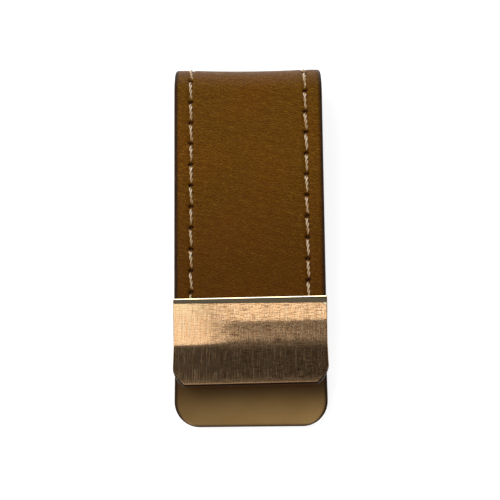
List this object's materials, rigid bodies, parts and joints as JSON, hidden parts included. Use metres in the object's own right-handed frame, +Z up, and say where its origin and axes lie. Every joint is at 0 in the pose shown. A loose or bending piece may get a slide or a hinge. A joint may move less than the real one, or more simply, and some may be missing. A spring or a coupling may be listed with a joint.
{
  "type": "money clip",
  "caption": "Slim money clip: a sprung metal strip bent into a U, a stitched leather strap over its outside and a brushed metal bar on its flared nose.",
  "frame": {"origin": "middle of the clip's bounding box, on the plane that its back lies on", "axes": "+Z up from the back face to the front arm, +Y towards the U-bend, +X along the clip's width"},
  "size_m": [0.0252, 0.061, 0.0108],
  "materials": {
    "spring_metal": "satin gold tone, smooth",
    "bar_metal": "brushed rose gold tone with polished edges",
    "leather": "vegetable tanned, fine grain, dark painted edges",
    "lining": "plain flesh side, dark painted edges",
    "thread": "twisted waxed linen thread"
  },
  "bodies": {
    "back": {"spring_back_leaf": "spring_metal", "spring_bend": "spring_metal", "outer_leather_back": "leather", "outer_leather_bend": "leather", "lining_back": "lining", "lining_bend": "lining", "thread_left_back": "thread", "thread_left_bend": "thread", "thread_right_back": "thread", "thread_right_bend": "thread"},
    "front": {"spring_front_arm": "spring_metal", "nose_bar": "bar_metal", "outer_leather_front": "leather", "lining_front": "lining", "thread_left_front": "thread", "thread_right_front": "thread"}
  },
  "joints": [
    {"name": "clip_flex", "type": "hinge", "parent": "back", "child": "front", "pos_m": [0, 0.0251, 0.0054], "axis": [-1, 0, 0], "range_deg": [0, 12], "stiffness_Nm_per_rad": 3, "deforming": ["spring_bend", "outer_leather_bend", "lining_bend", "thread_left_bend", "thread_right_bend"]}
  ]
}
